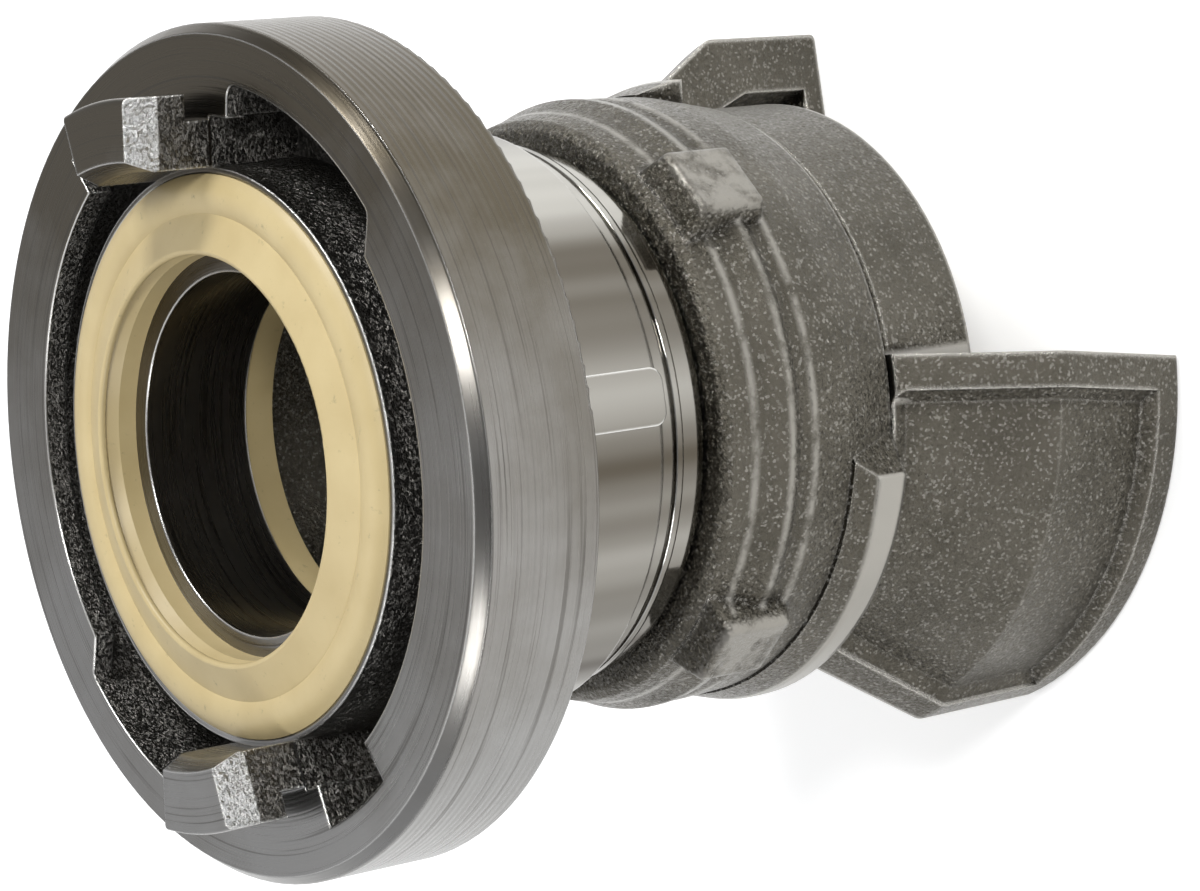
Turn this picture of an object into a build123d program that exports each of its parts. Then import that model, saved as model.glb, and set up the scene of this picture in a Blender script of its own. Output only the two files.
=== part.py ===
from build123d import *
from math import cos, radians, sin
import os

# Fire hose adapter: a lugged quarter turn head on top, a two-claw quarter turn half below,
# and a locking ring that turns between them. Millimetres. The coupling axis is +Z. The origin
# is on that axis, in the plane of the claw feet that the adapter stands on.

# ---------------------------------------------------------------- lengths along the axis
claw_reach = 23.2          # claw feet to the tail mating face
flange_length = 13.4       # claw body flange
flange_gap = 0.9           # flange to locking ring
ring_length = 25.0         # locking ring
head_gap = 0.4             # locking ring to the head's end
shoulder_length = 8.6      # fine turned end of the head
neck_length = 20.0         # polished neck
rim_length = 16.0          # outer ring of the head
barrel_gap = 0.2           # claw body's barrel to the head's end
overcut = 1.0              # how far a cutter runs past what it cuts

# ---------------------------------------------------------------- head
rim_radius = 49.0
rim_chamfer = 1.1
rim_chamfer_length = 1.5
rim_back_round = 0.6
neck_radius = 34.5
neck_fillet = 1.2
shoulder_step = 1.5        # neck down to the shoulder, as radius and as length
shoulder_land = 1.5        # first turned land behind the neck
groove_depth = 0.65
groove_width = 0.6
ridge_width = 1.0
end_step = 0.9             # last step down before the head's end
end_length = 1.4
bore_radius = 20.9
socket_radius = 29.5       # threaded socket, at the crest of the spigot's thread
socket_depth = 27.6        # socket mouth to its floor
seat_radius = 32.3         # recess for the face seal
seat_depth = 3.05
seat_rim = 0.6             # thin metal rim round the seal
seat_rim_drop = 0.4
channel_depth = 12.0
channel_radius = 42.7
channel_draft = 0.5
lip_radius = 38.8
lip_thin = 2.3             # cam lip where the hook enters
lip_thick = 3.2            # cam lip where the hook is tight
channel_half_angle = 76.0  # channel either side of the quarter between the lugs

# ---------------------------------------------------------------- hooked lugs
lug_height = 10.3
lug_half_angle = 11.0
lug_root_radius = 38.3
hook_radius = 41.3
hook_clearance = 0.1       # hook to the thickest part of a mating lip
lug_inner_clearance = 0.1  # lug to the seat rim
lug_chamfer = 1.2
lug_chamfer_length = 3.0
lug_round = 0.8
lug_end_chamfer = 1.3      # slanted cast end of a lug, along the turn
lug_end_length = 3.7       # and along the axis

# ---------------------------------------------------------------- slots in the head's face
pocket_start = 16.4        # degrees from a lug's middle
pocket_end = 56.4
entry_angle = 5.5          # slanted entry from pocket to lip
pocket_corner = 1.5
relief_start = 15.0        # relief notch on the lug's other side
relief_end = 32.0
relief_radius = 43.8
slot_depth = 5.0

# ---------------------------------------------------------------- neck pads
pad_width = 6.6
pad_height = 1.1
pad_corner = 1.8
pad_angle = 90.0
pad_overrun = 0.6          # past the neck's end

# ---------------------------------------------------------------- claw body
spigot_clearance = 0.05
spigot_bore = 23.5
gasket_thickness = 4.0
gasket_clearance = 0.3
barrel_radius = 30.0
flange_wall = 4.4          # flange over the barrel
flange_chamfer = 0.5
claw_radius = 45.8
claw_cylinder = 19.0       # length of the claw's cylindrical part
claw_front_radius = 35.5   # claw's flank at the flange's front
claw_sector = 105.0        # degrees of blank that the two end cuts trim
claw_near_cut = 4.05       # near end's plane from the axis, at the feet
claw_near_lean = 0.137     # its lean per length along the axis
claw_far_cut = 11.9        # far end's plane from the axis, at the feet
claw_far_lean = 0.047
claw_round = 0.8
flank_round = 2.5
panel_depth = 1.6
panel_near_border = 4.3
panel_far_border = 5.0
panel_foot_border = 3.5
panel_draft = 1.7          # width of the panel's sloping foot wall
panel_round = 1.3          # corners of the panel's floor
panel_skin = 0.3           # panel's floor over the flange
claw_wall = 6.9            # claw's outside to its roof
claw_lip_height = 4.0      # roof to the lip's edge
claw_lip_thin = 2.8
claw_lip_thick = 5.2
web_drop = 9.7             # sloping web: its length below the mating face
web_foot = 0.8             # web over the flange at the mating face

# ---------------------------------------------------------------- tail seal
tail_seat_radius = 30.2
tail_seat_depth = 6.0
tail_seal_width = 6.1
tail_seal_proud = 0.7
tail_seal_lip = 1.5
tail_seal_round = 0.5
seal_clearance = 0.1

# ---------------------------------------------------------------- locking ring
# Walls are measured outwards from the ring's bore.
running_clearance = 0.08
nose_wall = 1.9
nose_edge_wall = 3.8
nose_bevel_wall = 4.9
shoulder_wall = 5.5
shoulder_rear_wall = 5.9
ridge_wall = 7.0
valley_wall = 6.5
band_wall = 6.85
band_middle_wall = 6.6
band_rear_wall = 5.1
nose_edge = 0.2            # lengths behind the ring's front face, from here to band_middle
nose_bevel = 1.1
shoulder_front = 3.2
shoulder_rear = 5.4
ridge_front = 7.6
ridge_rear = 8.8
valley_front = 9.8
valley_rear = 10.8
band_front = 11.9
band_middle = 17.5
ring_fillet = 0.6
ramp_wall = 8.3
ramp_start = -8.0          # degrees: thin leading end
ramp_sweep = 86.0
ramp_end_slope = 8.0       # degrees of the sloping thick end
ramp_root_length = 7.0
ramp_thin = 1.4
ramp_thick = 4.3
ramp_overlap = 0.2         # ramp cutter into the band
spanner_angle = 38.0
spanner_count = 4
spanner_wall = 9.1
spanner_seat_wall = 3.0
spanner_base_width = 12.6
spanner_top_width = 8.8
spanner_base_length = 12.2
spanner_top_length = 9.2
spanner_inset = 0.9        # ring's front face to the lug's base
spanner_round = 0.7

# ---------------------------------------------------------------- face seal
seal_bead_width = 4.4
seal_bead_height = 0.8
seal_valley_height = 0.3
seal_lip_height = 1.8
seal_hole = 23.3           # radius inside the lip
seal_lip_round = 0.5
seal_hollow = 0.7          # hollow behind the lip

# ---------------------------------------------------------------- stations
mating_z = claw_reach
flange_front_z = mating_z + flange_length
ring_rear_z = flange_front_z + flange_gap
ring_front_z = ring_rear_z + ring_length
head_end_z = ring_front_z + head_gap
neck_rear_z = head_end_z + shoulder_length
rim_rear_z = neck_rear_z + neck_length
face_z = rim_rear_z + rim_length
socket_floor_z = head_end_z + socket_depth
seat_floor_z = face_z - seat_depth
channel_floor_z = face_z - channel_depth
lug_front_z = face_z + lug_height
hook_back_z = face_z + lip_thick - hook_clearance
tube_radius = seat_radius + seat_rim
lug_inner_radius = tube_radius + lug_inner_clearance
shoulder_radius = neck_radius - shoulder_step
spigot_front_z = socket_floor_z - gasket_thickness
flange_radius = barrel_radius + flange_wall
roof_radius = claw_radius - claw_wall
claw_lip_radius = roof_radius - claw_lip_height
ring_bore = barrel_radius + running_clearance
band_radius = ring_bore + band_wall
ramp_radius = ring_bore + ramp_wall
ramp_seat_radius = ring_bore + band_rear_wall / 2

os.makedirs("parts", exist_ok=True)


def radial_plane(angle):
    """Half plane through the axis at this angle: local x is the radius, local y is +Z."""
    a = radians(angle)
    return Plane(origin=(0, 0, 0), x_dir=(cos(a), sin(a), 0), z_dir=(sin(a), -cos(a), 0))


def turned(points, start=0.0, sweep=360.0, rounds=()):
    """A solid turned about the axis from (radius, z) points, from start through sweep.
    rounds holds (point index, fillet radius)."""
    with BuildPart() as body:
        with BuildSketch(radial_plane(start)) as profile:
            with BuildLine():
                Polyline(*points, close=True)
            make_face()
            for index, size in rounds:
                fillet(profile.vertices().sort_by_distance((*points[index], 0))[0], size)
        revolve(axis=Axis.Z, revolution_arc=sweep)
    return body.part


def cam(section, start, sweep, steps=6):
    """A solid lofted round the axis through (radius, z) sections. section(share) gives the
    outline at that share of the sweep."""
    with BuildPart() as body:
        for step in range(steps + 1):
            share = step / steps
            with BuildSketch(radial_plane(start + sweep * share)):
                with BuildLine():
                    Polyline(*section(share), close=True)
                make_face()
        loft()
    return body.part


def lug_profile():
    """One hooked lug: a web up from the channel floor and an outward hook."""
    return [
        (tube_radius - seat_rim / 2, channel_floor_z - 0.5),
        (tube_radius - seat_rim / 2, face_z - seat_rim_drop),
        (lug_inner_radius, face_z - seat_rim_drop),
        (lug_inner_radius, lug_front_z - lug_chamfer_length),
        (lug_inner_radius + lug_chamfer, lug_front_z),
        (hook_radius, lug_front_z),
        (hook_radius, hook_back_z),
        (lug_root_radius, hook_back_z),
        (lug_root_radius, face_z),
        (lip_radius + 0.5, face_z),
        (lip_radius + 0.5, channel_floor_z - 0.5),
    ]


def lip_wedge(share):
    """Section of the cam lip over the channel. The lip thickens along the turn."""
    thickness = lip_thin + (lip_thick - lip_thin) * share
    return [
        (lip_radius - 2 * overcut, face_z - thickness),
        (channel_radius + 2 * overcut, face_z - thickness),
        (channel_radius + 2 * overcut, face_z + overcut),
        (lip_radius - 2 * overcut, face_z + overcut),
    ]


# ================================================================ lugged head
groove_z = neck_rear_z - shoulder_step - shoulder_land

with BuildPart() as lug:
    add(turned(lug_profile(), start=-lug_half_angle, sweep=2 * lug_half_angle,
               rounds=((5, lug_round),)))
    for hand in (-1, 1):
        # Slanted cast end: the plane leans towards the lug's middle above its lower edge.
        end = radial_plane(hand * lug_half_angle)
        tangent = Vector(0, 0, 1).cross(end.x_dir) * hand
        lower_edge = end.x_dir * hook_radius + Vector(0, 0, lug_front_z - lug_end_length)
        outwards = tangent * lug_end_length + Vector(0, 0, lug_end_chamfer)
        split(bisect_by=Plane(origin=lower_edge, x_dir=end.x_dir, z_dir=outwards), keep=Keep.BOTTOM)

with BuildPart() as lug_head:
    add(turned(
        [
            (bore_radius, socket_floor_z),
            (bore_radius, face_z),
            (rim_radius - rim_chamfer, face_z),
            (rim_radius, face_z - rim_chamfer_length),
            (rim_radius, rim_rear_z),
            (neck_radius, rim_rear_z),
            (neck_radius, neck_rear_z),
            (shoulder_radius, neck_rear_z - shoulder_step),
            (shoulder_radius, groove_z),
            (shoulder_radius - groove_depth, groove_z),
            (shoulder_radius - groove_depth, groove_z - groove_width),
            (shoulder_radius - groove_depth / 5, groove_z - groove_width),
            (shoulder_radius - groove_depth / 5, groove_z - groove_width - ridge_width),
            (shoulder_radius - groove_depth, groove_z - groove_width - ridge_width),
            (shoulder_radius - groove_depth, head_end_z + end_length),
            (shoulder_radius - groove_depth - end_step, head_end_z + end_length - end_step / 3),
            (shoulder_radius - groove_depth - end_step, head_end_z),
            (socket_radius, head_end_z),
            (socket_radius, socket_floor_z),
        ],
        rounds=((4, rim_back_round), (5, neck_fillet)),
    ))

    # Seat for the face seal, with its thin rim set a little below the face.
    add(turned([
        (bore_radius - overcut, seat_floor_z),
        (seat_radius, seat_floor_z),
        (seat_radius, face_z + overcut),
        (bore_radius - overcut, face_z + overcut),
    ]), mode=Mode.SUBTRACT)
    add(turned([
        (seat_radius - overcut, face_z - seat_rim_drop),
        (tube_radius + overcut, face_z - seat_rim_drop),
        (tube_radius + overcut, face_z + overcut),
        (seat_radius - overcut, face_z + overcut),
    ]), mode=Mode.SUBTRACT)

    # Open ring between the seal's tube and the cam lips.
    add(turned([
        (tube_radius, face_z + overcut),
        (tube_radius + channel_draft, channel_floor_z),
        (lip_radius, channel_floor_z),
        (lip_radius, face_z + overcut),
    ]), mode=Mode.SUBTRACT)

    for side in (0.0, 180.0):
        # Channel behind the cam lip, deepest where a mating hook comes in.
        channel_end = side - 90 + channel_half_angle
        with BuildPart(mode=Mode.PRIVATE) as channel:
            add(turned([
                (lip_radius - overcut, channel_floor_z),
                (channel_radius, channel_floor_z),
                (channel_radius, face_z - lip_thin / 2),
                (lip_radius - overcut, face_z - lip_thin / 2),
            ], start=channel_end, sweep=-2 * channel_half_angle))
            add(cam(lip_wedge, channel_end + 2, -2 * channel_half_angle - 4), mode=Mode.SUBTRACT)
        add(channel.part, mode=Mode.SUBTRACT)

        # Pocket that lets a mating lug in, with a slanted entry to the lip.
        with BuildSketch(Plane.XY.offset(face_z - slot_depth)) as pocket:
            with BuildLine():
                outer = CenterArc((0, 0), channel_radius, side - pocket_end, pocket_end - pocket_start)
                inner = CenterArc((0, 0), lip_radius - overcut, side - pocket_end - entry_angle,
                                  pocket_end - pocket_start + entry_angle)
                Line(outer @ 0, inner @ 0)
                Line(outer @ 1, inner @ 1)
            make_face()
            fillet(pocket.vertices().sort_by_distance((0, 0))[-2:], pocket_corner)
        extrude(amount=slot_depth + overcut, mode=Mode.SUBTRACT)

        # Relief notch beyond the lip's tight end.
        add(turned([
            (lip_radius - overcut, face_z - slot_depth),
            (relief_radius, face_z - slot_depth),
            (relief_radius, face_z + overcut),
            (lip_radius - overcut, face_z + overcut),
        ], start=side + relief_start, sweep=relief_end - relief_start), mode=Mode.SUBTRACT)

        # Hooked lug.
        add(lug.part.rotate(Axis.Z, side))

        # Raised pad on the neck, rounded at its rear end.
        pad_plane = Plane(
            origin=(0, 0, (rim_rear_z + neck_rear_z) / 2),
            x_dir=(0, 0, 1),
            z_dir=(cos(radians(side + pad_angle)), sin(radians(side + pad_angle)), 0),
        )
        with BuildSketch(pad_plane.offset(neck_radius - overcut)):
            RectangleRounded(neck_length + pad_overrun, pad_width, pad_corner)
        extrude(amount=overcut + pad_height)

lug_head.part.label = "lug_head"
export_step(lug_head.part, "parts/lug_head.step")


# ================================================================ face seal
seal_outer = seat_radius - seal_clearance

with BuildPart() as face_seal:
    with BuildSketch(Plane.XZ):
        with BuildLine():
            bead = ThreePointArc(
                (seal_outer, face_z - seal_valley_height),
                (seal_outer - seal_bead_width * 0.4, face_z + seal_bead_height),
                (seal_outer - seal_bead_width, face_z + seal_valley_height),
            )
            top = Line(bead @ 1, (seal_hole + seal_lip_round, face_z + seal_lip_height))
            lip = RadiusArc(top @ 1, (seal_hole, face_z + seal_lip_height - 1.5 * seal_lip_round),
                            -seal_lip_round)
            Polyline(
                lip @ 1,
                (seal_hole + seal_hollow, face_z + 0.3 * seal_lip_height),
                (seal_hole - seal_clearance, face_z - seal_hollow),
                (seal_hole - seal_clearance, seat_floor_z),
                (seal_outer, seat_floor_z),
                bead @ 0,
            )
        make_face()
    revolve(axis=Axis.Z)

face_seal.part.label = "face_seal"
export_step(face_seal.part, "parts/face_seal.step")


# ================================================================ socket gasket
with BuildPart() as socket_gasket:
    add(turned([
        (bore_radius + gasket_clearance, spigot_front_z),
        (socket_radius - gasket_clearance, spigot_front_z),
        (socket_radius - gasket_clearance, socket_floor_z),
        (bore_radius + gasket_clearance, socket_floor_z),
    ]))

socket_gasket.part.label = "socket_gasket"
export_step(socket_gasket.part, "parts/socket_gasket.step")


# ================================================================ locking ring
def ramp_blank():
    """One ramp sector before its helical face is cut."""
    return turned([
        (ramp_seat_radius, ring_rear_z),
        (ramp_radius, ring_rear_z),
        (ramp_radius, ring_rear_z + ramp_root_length),
        (ramp_seat_radius, ring_rear_z + ramp_root_length),
    ], start=ramp_start, sweep=ramp_sweep)


def ramp_cut(share):
    """Section above the ramp's helical face, at this share from the thin end."""
    height = ramp_thin + (ramp_thick - ramp_thin) * share
    fall = (ramp_root_length - height) / (ramp_radius - band_radius)
    return [
        (band_radius - ramp_overlap, ring_rear_z + ramp_root_length + ramp_overlap * fall),
        (ramp_radius + overcut, ring_rear_z + height - overcut * fall),
        (ramp_radius + overcut, ring_rear_z + ramp_root_length + 3 * overcut),
        (band_radius - ramp_overlap, ring_rear_z + ramp_root_length + 3 * overcut),
    ]


with BuildPart() as ramp:
    add(ramp_blank())
    add(cam(ramp_cut, ramp_start - 1, ramp_sweep + 2), mode=Mode.SUBTRACT)

    # Sloping thick end, from the ramp's outside down to the band.
    crest = Vector(ramp_radius, 0, 0).rotate(Axis.Z, ramp_start + ramp_sweep - ramp_end_slope)
    foot = Vector(ring_bore + band_rear_wall - 0.3, 0, 0).rotate(Axis.Z, ramp_start + ramp_sweep)
    outwards = (foot - crest).cross(Vector(0, 0, 1))
    split(bisect_by=Plane(origin=crest, x_dir=foot - crest, z_dir=outwards), keep=Keep.BOTTOM)


def down(distance):
    """Height at this distance behind the ring's front face."""
    return ring_front_z - distance


with BuildPart() as spanner_lug:
    middle_z = down(spanner_inset + spanner_base_length / 2)
    seat = Plane(origin=(0, 0, middle_z), x_dir=(0, 0, 1), z_dir=(1, 0, 0))
    with BuildSketch(seat.offset(ring_bore + spanner_seat_wall)):
        Rectangle(spanner_base_length, spanner_base_width)
    with BuildSketch(seat.offset(ring_bore + spanner_wall)):
        Rectangle(spanner_top_length, spanner_top_width)
    loft()
    base = spanner_lug.faces().sort_by(Axis.X)[0]
    fillet([edge for edge in spanner_lug.edges() if edge not in base.edges()], spanner_round)


with BuildPart() as locking_ring:
    with BuildSketch(Plane.XZ):
        with BuildLine():
            outside = FilletPolyline(
                (ring_bore + nose_wall, down(0)),
                (ring_bore + nose_edge_wall, down(nose_edge)),
                (ring_bore + nose_bevel_wall, down(nose_bevel)),
                (ring_bore + shoulder_wall, down(shoulder_front)),
                (ring_bore + shoulder_rear_wall, down(shoulder_rear)),
                (ring_bore + ridge_wall, down(ridge_front)),
                (ring_bore + ridge_wall, down(ridge_rear)),
                (ring_bore + valley_wall, down(valley_front)),
                (ring_bore + valley_wall, down(valley_rear)),
                (band_radius, down(band_front)),
                (ring_bore + band_middle_wall, down(band_middle)),
                (ring_bore + band_rear_wall, down(ring_length)),
                radius=ring_fillet,
            )
            Polyline(outside @ 1, (ring_bore, down(ring_length)), (ring_bore, down(0)), outside @ 0)
        make_face()
    revolve(axis=Axis.Z)

    # Two ramps that a mating claw's lips ride up.
    add(ramp.part)
    add(ramp.part.rotate(Axis.Z, 180))

    # Spanner lugs across the ribs.
    for index in range(spanner_count):
        add(spanner_lug.part.rotate(Axis.Z, spanner_angle + index * 360 / spanner_count))

locking_ring.part.label = "locking_ring"
export_step(locking_ring.part, "parts/locking_ring.step")


# ================================================================ claw body
def claw_slot(share):
    """Section of the space under the claw. The lip below it thickens along the turn."""
    lip_front_z = claw_lip_thin + (claw_lip_thick - claw_lip_thin) * share
    return [
        (claw_lip_radius - 4 * overcut, lip_front_z),
        (roof_radius, lip_front_z),
        (roof_radius, mating_z - web_drop),
        (flange_radius + web_foot, mating_z),
        (claw_lip_radius - 4 * overcut, mating_z),
    ]


def near_plane(inset):
    """Plane along the claw's near end, inset from it."""
    return Plane(
        origin=(claw_near_cut + inset, 0, 0),
        x_dir=(-claw_near_lean, 0, 1),
        z_dir=(-1, 0, -claw_near_lean),
    )


def far_plane(inset):
    """Plane along the claw's far end, inset from it."""
    return Plane(
        origin=(0, claw_far_cut + inset, 0),
        x_dir=(0, -claw_far_lean, 1),
        z_dir=(0, -1, -claw_far_lean),
    )


with BuildPart() as panel:
    panel_radius = claw_radius - panel_depth
    add(turned(
        [
            (claw_radius + 2 * overcut, panel_foot_border - panel_draft),
            (panel_radius, panel_foot_border + panel_draft),
            (panel_radius, claw_cylinder - 0.5),
            (flange_radius + panel_skin, flange_front_z - 2.0),
            (flange_radius + panel_skin, flange_front_z + overcut),
            (claw_radius + 2 * overcut, flange_front_z + overcut),
        ],
        start=0,
        sweep=claw_sector,
    ))
    split(bisect_by=near_plane(panel_near_border), keep=Keep.BOTTOM)
    split(bisect_by=far_plane(panel_far_border), keep=Keep.BOTTOM)
    walls = [edge for edge in panel.edges()
             if edge.geom_type != GeomType.CIRCLE
             and all(Vector(v.X, v.Y, 0).length < claw_radius for v in edge.vertices())]
    chamfer(walls, panel_round)

with BuildPart() as claw:
    add(turned(
        [
            (claw_lip_radius, 0),
            (claw_radius, 0),
            (claw_radius, claw_cylinder),
            (claw_front_radius, flange_front_z),
            (flange_radius - 2 * overcut, flange_front_z),
            (flange_radius - 2 * overcut, mating_z - web_drop),
            (claw_lip_radius, mating_z - web_drop),
        ],
        start=0,
        sweep=claw_sector,
        rounds=((1, claw_round), (2, flank_round)),
    ))
    add(cam(claw_slot, -2, claw_sector + 4), mode=Mode.SUBTRACT)
    split(bisect_by=near_plane(0), keep=Keep.BOTTOM)
    split(bisect_by=far_plane(0), keep=Keep.BOTTOM)
    add(panel.part, mode=Mode.SUBTRACT)

with BuildPart() as claw_body:
    add(turned([
        (spigot_bore, mating_z),
        (flange_radius, mating_z),
        (flange_radius, flange_front_z - flange_chamfer),
        (flange_radius - flange_chamfer, flange_front_z),
        (barrel_radius, flange_front_z),
        (barrel_radius, head_end_z - barrel_gap),
        (socket_radius - spigot_clearance, head_end_z - barrel_gap),
        (socket_radius - spigot_clearance, spigot_front_z),
        (spigot_bore, spigot_front_z),
    ]))
    add(claw.part)
    add(claw.part.rotate(Axis.Z, 180))

    # Seat for the tail seal.
    add(turned([
        (spigot_bore - overcut, mating_z - overcut),
        (tail_seat_radius, mating_z - overcut),
        (tail_seat_radius, mating_z + tail_seat_depth),
        (spigot_bore - overcut, mating_z + tail_seat_depth),
    ]), mode=Mode.SUBTRACT)

claw_body.part.label = "claw_body"
export_step(claw_body.part, "parts/claw_body.step")


# ================================================================ tail seal
tail_seal_outer = tail_seat_radius - seal_clearance
tail_seal_inner = tail_seal_outer - tail_seal_width

with BuildPart() as tail_seal:
    add(turned(
        [
            (tail_seal_inner, mating_z - tail_seal_proud),
            (tail_seal_outer, mating_z - tail_seal_proud),
            (tail_seal_outer, mating_z + tail_seat_depth),
            (tail_seal_inner + tail_seal_lip, mating_z + tail_seat_depth),
            (tail_seal_inner + tail_seal_lip, mating_z + tail_seat_depth - tail_seal_lip),
            (tail_seal_inner, mating_z + tail_seat_depth - 2 * tail_seal_lip),
        ],
        rounds=((0, tail_seal_round), (1, tail_seal_round)),
    ))

tail_seal.part.label = "tail_seal"
export_step(tail_seal.part, "parts/tail_seal.step")
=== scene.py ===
import math
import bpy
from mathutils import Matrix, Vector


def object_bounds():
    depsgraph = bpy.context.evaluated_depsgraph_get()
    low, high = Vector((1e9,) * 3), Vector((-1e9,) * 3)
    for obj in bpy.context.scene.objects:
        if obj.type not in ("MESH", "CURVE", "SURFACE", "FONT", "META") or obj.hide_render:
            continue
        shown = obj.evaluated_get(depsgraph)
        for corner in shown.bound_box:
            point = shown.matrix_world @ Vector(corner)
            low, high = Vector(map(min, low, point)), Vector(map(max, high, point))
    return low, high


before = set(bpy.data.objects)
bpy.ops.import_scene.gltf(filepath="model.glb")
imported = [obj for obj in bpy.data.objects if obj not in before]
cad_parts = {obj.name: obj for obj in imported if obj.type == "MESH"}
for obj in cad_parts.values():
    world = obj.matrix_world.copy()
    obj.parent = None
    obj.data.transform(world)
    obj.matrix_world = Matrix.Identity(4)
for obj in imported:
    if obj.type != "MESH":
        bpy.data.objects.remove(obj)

from types import SimpleNamespace

import bpy
from mathutils import Vector

cad_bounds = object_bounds()

# ------------------------------------------------------------------ camera
# The adapter stands on its claws, and the camera looks down on it at about 37 degrees. The camera
# is rolled, so that the adapter lies across the picture with its head at the left. A long lens
# keeps the perspective low.
camera_data = bpy.data.cameras.new("camera")
camera_data.lens = 120
camera_data.sensor_width = 36
camera_data.clip_start = 0.01
camera = bpy.data.objects.new("camera", camera_data)
camera.location = (0.0, -0.38467, 0.34896)
camera.rotation_euler = [math.radians(angle) for angle in (-11.0288, 51.6801, -103.2144)]
bpy.context.scene.collection.objects.link(camera)
bpy.context.scene.camera = camera
bpy.context.scene.view_settings.view_transform = "Standard"


# ------------------------------------------------------------------ paper floor
# A wide sheet of white paper carries the adapter and is its background. It glows a little where it
# is seen or mirrored, so that it stays white there, and it keeps the adapter's shadow.
def linear(hex_colour):
    """The linear colour of an sRGB hex value."""
    channels = [int(hex_colour[i:i + 2], 16) / 255 for i in (1, 3, 5)]
    return tuple(c / 12.92 if c <= 0.04045 else ((c + 0.055) / 1.055) ** 2.4 for c in channels) + (1.0,)


def socket(sockets, key):
    """The socket with this number, or the first one in use with this name."""
    if isinstance(key, int):
        return sockets[key]
    return next(one for one in sockets if one.enabled and one.name == key)


def node(tree, kind, settings=None, links=None):
    """Adds a node. settings gives its own properties and, by name or number, its inputs' values.
    links joins inputs to other nodes, each by its first output in use, or to one of their outputs."""
    made = tree.nodes.new(kind)
    for key, value in (settings or {}).items():
        if isinstance(key, str) and hasattr(made, key):
            setattr(made, key, value)
        else:
            socket(made.inputs, key).default_value = value
    for key, source in (links or {}).items():
        if isinstance(source, bpy.types.Node):
            source = next(output for output in source.outputs if output.enabled)
        tree.links.new(source, socket(made.inputs, key))
    return made


def new_material(name):
    """A material with an empty tree."""
    material = bpy.data.materials.new(name)
    material.use_nodes = True
    material.node_tree.nodes.clear()
    return material, material.node_tree


def either(tree, first, second):
    """Where at least one of two masks holds."""
    return node(tree, "ShaderNodeMath", {"operation": "MAXIMUM"}, {0: first, 1: second})


paper_size = 4.0
paper_glow = 0.30

bpy.ops.object.select_all(action="DESELECT")
bpy.ops.mesh.primitive_plane_add(size=paper_size, location=(0.0, 0.0, cad_bounds[0][2]))
floor = bpy.context.object
floor.name = "paper_floor"

# White paper: an even, matt white.
paper, tree = new_material("white_paper")
matt = node(tree, "ShaderNodeBsdfDiffuse", {"Color": linear("#FBFBFA")})
ray = node(tree, "ShaderNodeLightPath")
mirrored = either(tree, ray.outputs["Is Glossy Ray"], ray.outputs["Is Transmission Ray"])
seen = either(tree, ray.outputs["Is Camera Ray"], mirrored)
lift = node(tree, "ShaderNodeMath", {"operation": "MULTIPLY", 1: paper_glow}, {0: seen})
glow = node(tree, "ShaderNodeEmission", {"Color": linear("#FFFFFF")}, {"Strength": lift})
sheet = node(tree, "ShaderNodeAddShader", links={0: matt, 1: glow})
node(tree, "ShaderNodeOutputMaterial", links={"Surface": sheet})
floor.data.materials.append(paper)

# ------------------------------------------------------------------ studio light
# The room is brightest above and behind the adapter, which the head's face mirrors, and dark behind
# the camera. Four small soft boxes put streaks on the turned metal and glints on the castings.
world = bpy.data.worlds.new("studio")
world.use_nodes = True
bpy.context.scene.world = world
tree = world.node_tree
tree.nodes.clear()
bright_side = (-0.35, 0.75, 0.55)
sky = node(tree, "ShaderNodeTexCoord")
away = node(tree, "ShaderNodeVectorMath", {"operation": "DOT_PRODUCT", 1: bright_side},
            {0: sky.outputs["Generated"]})
wall = node(tree, "ShaderNodeMapRange",
            {"From Min": -0.3, "From Max": 0.95, "To Min": 0.16, "To Max": 0.80}, {"Value": away})
back = node(tree, "ShaderNodeBackground", {"Color": linear("#F6F7FA")}, {"Strength": wall})
node(tree, "ShaderNodeOutputWorld", links={"Surface": back})

adapter_middle = Vector((0.0, 0.0, 0.06))
for name, place, size, power in (
    ("front_box", (0.22, -0.50, 0.50), 0.13, 2.2),
    ("side_box", (0.58, -0.05, 0.46), 0.18, 3.0),
    ("low_box", (-0.50, -0.35, 0.35), 0.22, 1.3),
    ("top_box", (-0.15, 0.30, 0.80), 0.40, 0.8),
):
    lamp = bpy.data.lights.new(name, "AREA")
    lamp.shape = "RECTANGLE"
    lamp.size = size
    lamp.size_y = size
    lamp.energy = power
    holder = bpy.data.objects.new(name, lamp)
    holder.location = place
    holder.rotation_euler = (adapter_middle - Vector(place)).to_track_quat("-Z", "Y").to_euler()
    bpy.context.scene.collection.objects.link(holder)

# ------------------------------------------------------------------ lugged head
# One aluminium casting, turned all over but for the open ring behind the cam lips, the pockets and
# the ends of the hooked lugs. The neck was polished after turning. Sizes are in millimetres.
face_z = 107.5
lug_height = 10.3                            # above the face
rim_radius = 49.0
rim_length = 16.0
rim_chamfer_length = 1.5
rim_skin = 0.3                               # the rim's outside is found this far in
ring_inside, ring_outside = 32.95, 43.95     # open ring, with the pockets beside it
ring_top, ring_depth = 0.25, 20.0            # below the face
neck_inside, neck_outside = 31.0, 36.5
neck_low = 60.0
lug_skin_start = 0.05                        # above the face
lug_tip_start = 6.6                          # slanted end of a lug, above the face
lug_end_turn = 0.3                           # how far round the axis a lug's end faces, as a sine
turning_pitch = 0.45                         # the tool's marks all over
turning_lengths = 0.9                        # how soon a mark fades along the turn
rim_feed = 0.95                              # coarser feed on the rim's outside
mark_height, neck_polish, feed_height = 0.28, 0.25, 0.13     # shares of the bump's full height
cast_grit = 0.34                             # true grit is finer, and too fine to show


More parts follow.
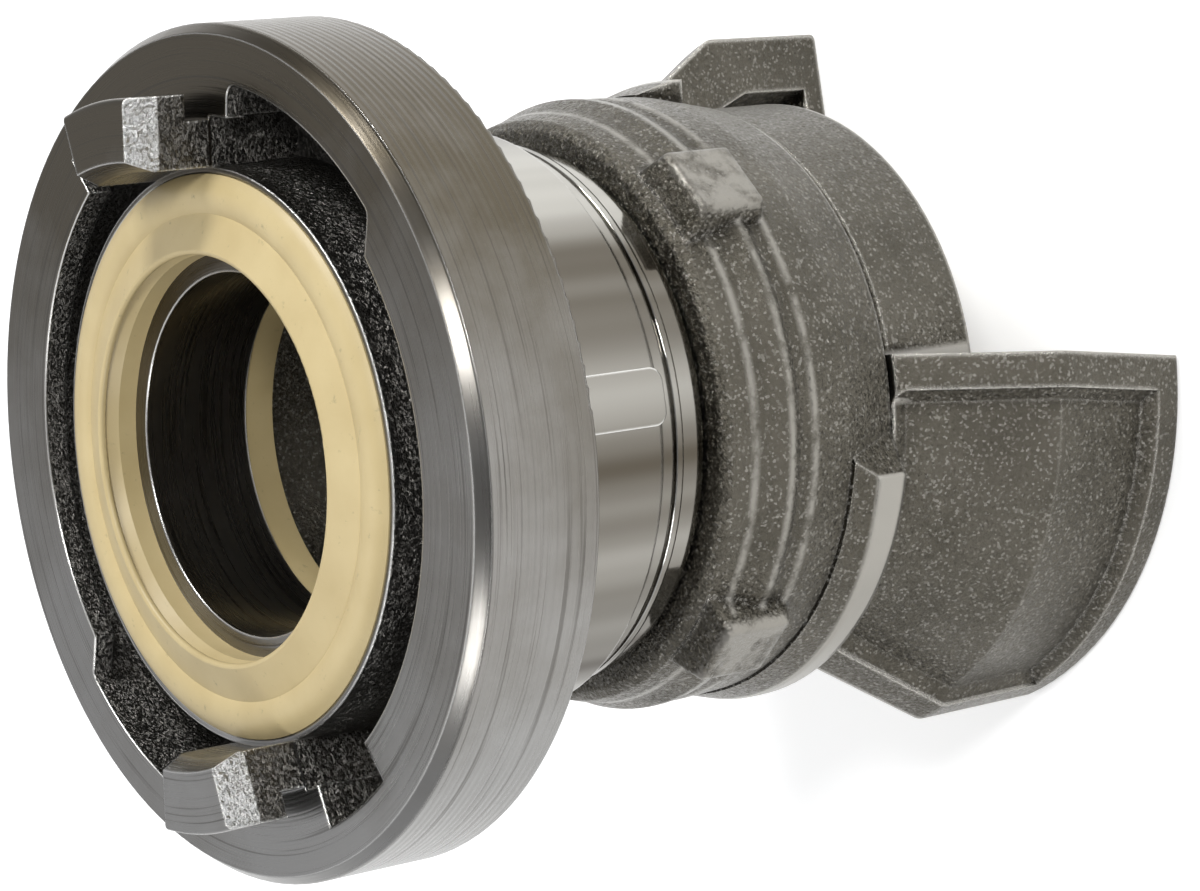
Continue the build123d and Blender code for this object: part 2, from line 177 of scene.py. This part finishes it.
def on_piece(tree):
    """The place on a piece in millimetres: mm is the vector, flat leaves its height out, radius is
    the distance from the coupling's axis, and z is the height. normal is the face's direction. A
    pattern that is laid on mm has its scale per millimetre."""
    place = node(tree, "ShaderNodeTexCoord")
    mm = node(tree, "ShaderNodeVectorMath", {"operation": "SCALE", "Scale": 1000.0},
              {0: place.outputs["Object"]})
    parts = node(tree, "ShaderNodeSeparateXYZ", links={0: mm})
    flat = node(tree, "ShaderNodeVectorMath", {"operation": "MULTIPLY", 1: (1, 1, 0)}, {0: mm})
    radius = node(tree, "ShaderNodeVectorMath", {"operation": "LENGTH"}, {0: flat})
    return SimpleNamespace(mm=mm, flat=flat, radius=radius, x=parts.outputs[0], y=parts.outputs[1],
                           z=parts.outputs[2], normal=place.outputs["Normal"])


def both(tree, first, second):
    """Where both masks hold."""
    return node(tree, "ShaderNodeMath", {"operation": "MULTIPLY"}, {0: first, 1: second})


def band(tree, value, low, high, soft=0.1):
    """1 where value is between low and high, fading over soft at each end."""
    rise = node(tree, "ShaderNodeMapRange", {"From Min": low - soft, "From Max": low + soft},
                {"Value": value})
    fall = node(tree, "ShaderNodeMapRange", {"From Min": high + soft, "From Max": high - soft},
                {"Value": value})
    return both(tree, rise, fall)


def turning_marks(tree, at):
    """Rings round the axis, uneven as a lathe tool leaves them: a noise that is stretched along the
    turn."""
    along = node(tree, "ShaderNodeMath", {"operation": "ADD"}, {0: at.radius, 1: at.z})
    ring = node(tree, "ShaderNodeMath", {"operation": "DIVIDE", 1: turning_pitch}, {0: along})
    unit = node(tree, "ShaderNodeVectorMath", {"operation": "NORMALIZE"}, {0: at.flat})
    turn = node(tree, "ShaderNodeVectorMath", {"operation": "SCALE", "Scale": turning_lengths}, {0: unit})
    parts = node(tree, "ShaderNodeSeparateXYZ", links={0: turn})
    spot = node(tree, "ShaderNodeCombineXYZ", links={0: ring, 1: parts.outputs[0], 2: parts.outputs[1]})
    return node(tree, "ShaderNodeTexNoise", {"Scale": 1.0, "Detail": 3.0, "Roughness": 0.6},
                {"Vector": spot})


def cast_skin(tree, at, grain, depth, tilt, rounding):
    """The normal of a cast skin, with rounded edges, soft lumps, and crystals that each lean their
    own way and so catch the light one by one. grain is in millimetres, depth and rounding in metres.
    Gives the normal of the rounded edges too."""
    edges = node(tree, "ShaderNodeBevel", {"samples": 8, "Radius": rounding})
    lumps = node(tree, "ShaderNodeTexNoise", {"Scale": 0.8 / grain, "Detail": 4.0, "Roughness": 0.6},
                 {"Vector": at.mm})
    bump = node(tree, "ShaderNodeBump", {"Strength": 0.9, "Distance": depth},
                {"Height": lumps, "Normal": edges})
    crystals = node(tree, "ShaderNodeTexVoronoi", {"Scale": 1.0 / grain}, {"Vector": at.mm})
    lean = node(tree, "ShaderNodeVectorMath", {"operation": "SUBTRACT", 1: (0.5, 0.5, 0.5)},
                {0: crystals.outputs["Color"]})
    leaning = node(tree, "ShaderNodeVectorMath", {"operation": "SCALE", "Scale": tilt}, {0: lean})
    tilted = node(tree, "ShaderNodeVectorMath", {"operation": "ADD"}, {0: leaning, 1: bump})
    return node(tree, "ShaderNodeVectorMath", {"operation": "NORMALIZE"}, {0: tilted}), edges


def open_places(tree):
    """1 in the open and 0 in corners, where nothing rubs. The castings use it for painted shade in their
    corners.
    """
    corner = node(tree, "ShaderNodeAmbientOcclusion", {"samples": 4, "only_local": True, "Distance": 0.002})
    return node(tree, "ShaderNodeMapRange", {"From Min": 0.80, "From Max": 0.96},
                {"Value": corner.outputs["AO"]})


def worn_edges(tree, edges, in_the_open, least, most):
    """1 on outward edges, which handling has rubbed bright, and 0 on flats and in corners. least and
    most say how far the rounded edge has turned from the face, as a cosine."""
    face = node(tree, "ShaderNodeNewGeometry")
    turn = node(tree, "ShaderNodeVectorMath", {"operation": "DOT_PRODUCT"},
                {0: edges, 1: face.outputs["Normal"]})
    edge = node(tree, "ShaderNodeMapRange", {"From Min": least, "From Max": most}, {"Value": turn})
    return both(tree, edge, in_the_open)


def head_zones(tree, at):
    """Masks of the head's finishes: the cast ring, the lugs' cast ends, the neck and the rim's side."""
    outwards = node(tree, "ShaderNodeVectorMath", {"operation": "CROSS_PRODUCT"}, {0: at.flat, 1: at.normal})
    sideways = node(tree, "ShaderNodeSeparateXYZ", links={0: outwards})
    size = node(tree, "ShaderNodeMath", {"operation": "ABSOLUTE"}, {0: sideways.outputs[2]})
    side_on = node(tree, "ShaderNodeMath", {"operation": "DIVIDE"}, {0: size, 1: at.radius})
    return SimpleNamespace(
        ring=both(tree, band(tree, at.radius, ring_inside, ring_outside),
                  band(tree, at.z, face_z - ring_depth, face_z - ring_top)),
        lug_end=both(tree, band(tree, at.z, face_z + lug_skin_start, face_z + lug_height + 1),
                     band(tree, side_on, lug_end_turn, 5.0)),
        neck=both(tree, band(tree, at.radius, neck_inside, neck_outside),
                  band(tree, at.z, neck_low, face_z - rim_length + 0.1)),
        rim_side=both(tree, band(tree, at.radius, rim_radius - rim_skin, rim_radius + 1),
                      band(tree, at.z, neck_low, face_z - rim_chamfer_length + 0.1)),
    )


def head_relief(tree, at, zone, cast, marks):
    """The head's normal: turning marks, fine on the neck and coarser on the rim, or the cast skin.
    Gives the normal of the rounded edges too."""
    phase = node(tree, "ShaderNodeMath", {"operation": "MULTIPLY", 1: 2 * math.pi / rim_feed}, {0: at.z})
    wave = node(tree, "ShaderNodeMath", {"operation": "SINE"}, {0: phase})
    feed = node(tree, "ShaderNodeMath", {"operation": "MULTIPLY", 1: feed_height},
                {0: both(tree, wave, zone.rim_side)})
    polish = node(tree, "ShaderNodeMath", {"operation": "MULTIPLY", 1: neck_polish}, {0: zone.neck})
    depth = node(tree, "ShaderNodeMath", {"operation": "SUBTRACT", 0: mark_height}, {1: polish})
    rings = node(tree, "ShaderNodeMath", {"operation": "MULTIPLY"}, {0: marks, 1: depth})
    height = node(tree, "ShaderNodeMath", {"operation": "ADD"}, {0: rings, 1: feed})
    skin, edges = cast_skin(tree, at, cast_grit, depth=0.0004, tilt=0.65, rounding=0.0005)
    bump = node(tree, "ShaderNodeBump", {"Strength": 0.9, "Distance": 0.0002},
                {"Height": height, "Normal": edges})
    normal = node(tree, "ShaderNodeMix", {"data_type": "VECTOR"}, {"Factor": cast, "A": bump, "B": skin})
    return normal, edges


def turned_tone_and_painted_reflection(tree, at, marks):
    """The turned faces: a painted reflection, dark grey brown towards +X and lighter towards -X, over a
    random cloudy tone, with dark lines in the deeper marks."""
    cloud = node(tree, "ShaderNodeTexNoise", {"Scale": 0.04, "Detail": 6.0, "Roughness": 0.6},
                 {"Vector": at.mm})
    # Painted reflection: the tone darkens towards +X and lightens towards -X.
    painted_side_reflection = node(tree, "ShaderNodeMath", {"operation": "MULTIPLY", 1: -0.010}, {0: at.x})
    random_tone_and_side_reflection = node(tree, "ShaderNodeMath", {"operation": "ADD"}, {0: painted_side_reflection, 1: cloud})
    lightness_with_painted_side = node(tree, "ShaderNodeMapRange", {"From Min": 0.15, "From Max": 0.95}, {"Value": random_tone_and_side_reflection})
    tone_with_painted_side = node(tree, "ShaderNodeMix", {"data_type": "RGBA", "A": linear("#544E43"), "B": linear("#92918F")},
                {"Factor": lightness_with_painted_side})
    shallow = node(tree, "ShaderNodeMapRange", {"From Min": 0.34, "From Max": 0.44, "To Min": 0.45},
                   {"Value": marks})
    return node(tree, "ShaderNodeMix", {"data_type": "RGBA", "A": linear("#45423D")},
                {"Factor": shallow, "B": tone_with_painted_side})


def painted_reflection_streaks(tree, at):
    """The neck: painted reflections, long dark brown and white streaks along the axis."""
    around = node(tree, "ShaderNodeVectorMath", {"operation": "NORMALIZE"}, {0: at.flat})
    noise = node(tree, "ShaderNodeTexNoise", {"Scale": 1.7, "Detail": 3.0}, {"Vector": around})
    reflection_streak = node(tree, "ShaderNodeMapRange", {"From Min": 0.36, "From Max": 0.62}, {"Value": noise})
    return node(tree, "ShaderNodeMix", {"data_type": "RGBA", "A": linear("#433C31"), "B": linear("#A9A7A1")},
                {"Factor": reflection_streak})


def cast_tone(tree, at, zone):
    """The cast places: dark grey, and light grey on the lugs' slanted tips."""
    tip = both(tree, zone.lug_end, band(tree, at.z, face_z + lug_tip_start, face_z + lug_height + 1))
    return node(tree, "ShaderNodeMix", {"data_type": "RGBA", "A": linear("#6E6C68"), "B": linear("#B9B9B8")},
                {"Factor": tip})


def head_gloss(tree, zone, cast, marks):
    """Roughness: a mirror on the neck, a soft shine on turned faces, duller where it is cast."""
    on_turned = node(tree, "ShaderNodeMapRange", {"To Min": 0.20, "To Max": 0.36}, {"Value": marks})
    on_neck = node(tree, "ShaderNodeMix", {"data_type": "FLOAT", "B": 0.08},
                   {"Factor": zone.neck, "A": on_turned})
    return node(tree, "ShaderNodeMix", {"data_type": "FLOAT", "B": 0.32}, {"Factor": cast, "A": on_neck})


# Cast aluminium, turned and polished: rings that glance with the light, a neck like a mirror, and
# dark sparkling pockets. Edges are rubbed nearly white.
head_metal, tree = new_material("turned_cast_aluminium")
at = on_piece(tree)
zone = head_zones(tree, at)
cast = either(tree, zone.ring, zone.lug_end)
marks = turning_marks(tree, at)
relief, edges = head_relief(tree, at, zone, cast, marks)
# The turned faces' tone carries a painted reflection by side, and the neck's tone carries painted reflection
# streaks.
smooth_tone = node(tree, "ShaderNodeMix", {"data_type": "RGBA"},
                   {"Factor": zone.neck, "A": turned_tone_and_painted_reflection(tree, at, marks), "B": painted_reflection_streaks(tree, at)})
skin_tone = node(tree, "ShaderNodeMix", {"data_type": "RGBA"},
                 {"Factor": cast, "A": smooth_tone, "B": cast_tone(tree, at, zone)})
worn = worn_edges(tree, edges, open_places(tree), least=0.97, most=0.85)
colour = node(tree, "ShaderNodeMix", {"data_type": "RGBA", "B": linear("#DCDBD8")},
              {"Factor": worn, "A": skin_tone})
metal = node(tree, "ShaderNodeBsdfPrincipled", {"Metallic": 1.0},
             {"Base Color": colour, "Roughness": head_gloss(tree, zone, cast, marks), "Normal": relief})
node(tree, "ShaderNodeOutputMaterial", links={"Surface": metal})
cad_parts["lug_head"].data.materials.clear()
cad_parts["lug_head"].data.materials.append(head_metal)

# ------------------------------------------------------------------ locking ring and claw body
# Two sand castings in aluminium, hardly machined. Mating claws rub the outside of the ring's ramps.
# Its ribs' crests and its four lugs' tops carry painted highlights in patches.
sand_grain = 0.32                            # true grain is finer, and too fine to show
painted_glints_per_mm = 3.4
worn_patches_per_mm = 0.26
ring_front_z = 62.5
ring_rear_z = 37.5
ramp_inside, ramp_outside = 38.15, 38.7
ramp_length = 6.0
rib_inside, rib_outside = 35.0, 37.6
rib_crests = (3.9, 8.3, 11.9)                # behind the ring's front
crest_highlight_half = 0.3                             # half the width of each crest's painted highlight
lug_top_inside, lug_top_outside = 38.3, 40.0
lug_front, lug_rear = 0.5, 15.5              # behind the ring's front
spot_start, spot_end = -1.2, 4.8             # smooth spot on the flange, sideways from the axis
spot_inside, spot_outside = 34.0, 35.2
spot_low, spot_high = 23.0, 37.0


def rubbed_and_highlit_ring(tree, at):
    """The ramps' outside, which mating claws rub, and in patches painted highlights on the ribs' crests and
    the spanner lugs' tops.
    """
    noise = node(tree, "ShaderNodeTexNoise",
                 {"Scale": worn_patches_per_mm, "Detail": 6.0, "Roughness": 0.65}, {"Vector": at.mm})
    patchy = node(tree, "ShaderNodeMapRange", {"From Min": 0.34, "From Max": 0.52}, {"Value": noise})
    rubbed = both(tree, band(tree, at.radius, ramp_inside, ramp_outside),
                  band(tree, at.z, ring_rear_z - 1, ring_rear_z + ramp_length))
    ribs = band(tree, at.radius, rib_inside, rib_outside, soft=0.3)
    # Painted highlights along the ribs' crests, in patches.
    for behind in rib_crests:
        crest = ring_front_z - behind
        rib = both(tree, band(tree, at.z, crest - crest_highlight_half, crest + crest_highlight_half, soft=0.45), ribs)
        rubbed = either(tree, rubbed, both(tree, rib, patchy))
    # Painted highlights on the spanner lugs' tops, fainter and in patches.
    tops = both(tree, band(tree, at.radius, lug_top_inside, lug_top_outside, soft=0.4),
                band(tree, at.z, ring_front_z - lug_rear, ring_front_z - lug_front))
    faint = node(tree, "ShaderNodeMath", {"operation": "MULTIPLY", 1: 0.7}, {0: both(tree, tops, patchy)})
    return either(tree, rubbed, faint)


def flange_flat(tree, at):
    """A short smooth spot on the flange beside each claw's root."""
    side = node(tree, "ShaderNodeMath", {"operation": "SIGN"}, {0: at.y})
    beside = node(tree, "ShaderNodeMath", {"operation": "MULTIPLY"}, {0: at.x, 1: side})
    spot = both(tree, band(tree, beside, spot_start, spot_end, soft=0.4),
                band(tree, at.radius, spot_inside, spot_outside))
    return both(tree, spot, band(tree, at.z, spot_low, spot_high))


def sand_cast_aluminium(name, smooth_patch):
    """Sand cast aluminium: a matt grey brown skin with patches, painted shade in the corners, rubbed
    bright edges and painted glints on single crystals. smooth_patch gives the places that are rubbed or
    turned smooth, and on the ring painted highlights too."""
    material, tree = new_material(name)
    at = on_piece(tree)
    skin, edges = cast_skin(tree, at, sand_grain, depth=0.0003, tilt=0.5, rounding=0.0012)
    smooth = smooth_patch(tree, at)
    relief = node(tree, "ShaderNodeMix", {"data_type": "VECTOR"}, {"Factor": smooth, "A": skin, "B": edges})

    patches = node(tree, "ShaderNodeTexNoise", {"Scale": 0.09, "Detail": 7.0, "Roughness": 0.6},
                   {"Vector": at.mm})
    matt_skin = node(tree, "ShaderNodeMix",
                     {"data_type": "RGBA", "A": linear("#3B3830"), "B": linear("#6E6A61")},
                     {"Factor": patches})
    in_the_open = open_places(tree)
    worn = worn_edges(tree, edges, in_the_open, least=0.975, most=0.86)
    # Painted shade: the corners darken to a dark grey brown.
    skin_with_painted_corner_shade = node(tree, "ShaderNodeMix", {"data_type": "RGBA", "A": linear("#2B2822")},
                 {"Factor": in_the_open, "B": matt_skin})
    edge_wear = node(tree, "ShaderNodeMath", {"operation": "MULTIPLY", 1: 0.9}, {0: worn})
    # On the ring these patches are partly painted highlights on the crests and lug tops.
    patch_wear_and_highlight = node(tree, "ShaderNodeMath", {"operation": "MULTIPLY", 1: 0.42}, {0: smooth})
    # Painted glints: single crystals are coloured bright.
    crystals = node(tree, "ShaderNodeTexVoronoi", {"Scale": painted_glints_per_mm}, {"Vector": at.mm})
    chance = node(tree, "ShaderNodeTexWhiteNoise", links={"Vector": crystals.outputs["Position"]})
    painted_glint = node(tree, "ShaderNodeMapRange", {"From Min": 0.80, "From Max": 1.0, "To Max": 0.30},
                 {"Value": chance.outputs["Value"]})
    # bright gathers the edge wear, the patches and the painted glints.
    bright = either(tree, either(tree, edge_wear, patch_wear_and_highlight), painted_glint)

    colour = node(tree, "ShaderNodeMix", {"data_type": "RGBA", "B": linear("#C9C6BF")},
                  {"Factor": bright, "A": skin_with_painted_corner_shade})
    gloss = node(tree, "ShaderNodeMapRange", {"To Min": 0.30, "To Max": 0.22}, {"Value": bright})
    metal = node(tree, "ShaderNodeBsdfPrincipled", {"Metallic": 1.0},
                 {"Base Color": colour, "Roughness": gloss, "Normal": relief})
    node(tree, "ShaderNodeOutputMaterial", links={"Surface": metal})
    return material


for name, smooth_patch in (("locking_ring", rubbed_and_highlit_ring), ("claw_body", flange_flat)):
    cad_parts[name].data.materials.clear()
    cast_metal = sand_cast_aluminium("sand_cast_aluminium_" + name, smooth_patch)
    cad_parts[name].data.materials.append(cast_metal)

# ------------------------------------------------------------------ seals
# Three rings of moulded rubber: the head's face seal, the gasket in its socket and the tail seal.
# They were cream when new. Moulding gives them a soft satin skin, which has clouded and holds fine
# dirt.
rubber, tree = new_material("moulded_cream_rubber")
at = on_piece(tree)
cloud = node(tree, "ShaderNodeTexNoise", {"Scale": 0.15, "Detail": 4.0}, {"Vector": at.mm})
cream = node(tree, "ShaderNodeMix", {"data_type": "RGBA", "A": linear("#AF9C6F"), "B": linear("#C6B589")},
             {"Factor": cloud})
dirt = node(tree, "ShaderNodeTexNoise", {"Scale": 0.8, "Detail": 6.0, "Roughness": 0.7}, {"Vector": at.mm})
specks = node(tree, "ShaderNodeMapRange", {"From Min": 0.62, "From Max": 0.75}, {"Value": dirt})
colour = node(tree, "ShaderNodeMix", {"data_type": "RGBA", "B": linear("#8C8262")},
              {"Factor": specks, "A": cream})
bump = node(tree, "ShaderNodeBump", {"Strength": 0.2, "Distance": 0.0001}, {"Height": dirt})
soft = node(tree, "ShaderNodeBsdfPrincipled", {"Roughness": 0.42}, {"Base Color": colour, "Normal": bump})
node(tree, "ShaderNodeOutputMaterial", links={"Surface": soft})
for name in ("face_seal", "socket_gasket", "tail_seal"):
    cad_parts[name].data.materials.clear()
    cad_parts[name].data.materials.append(rubber)
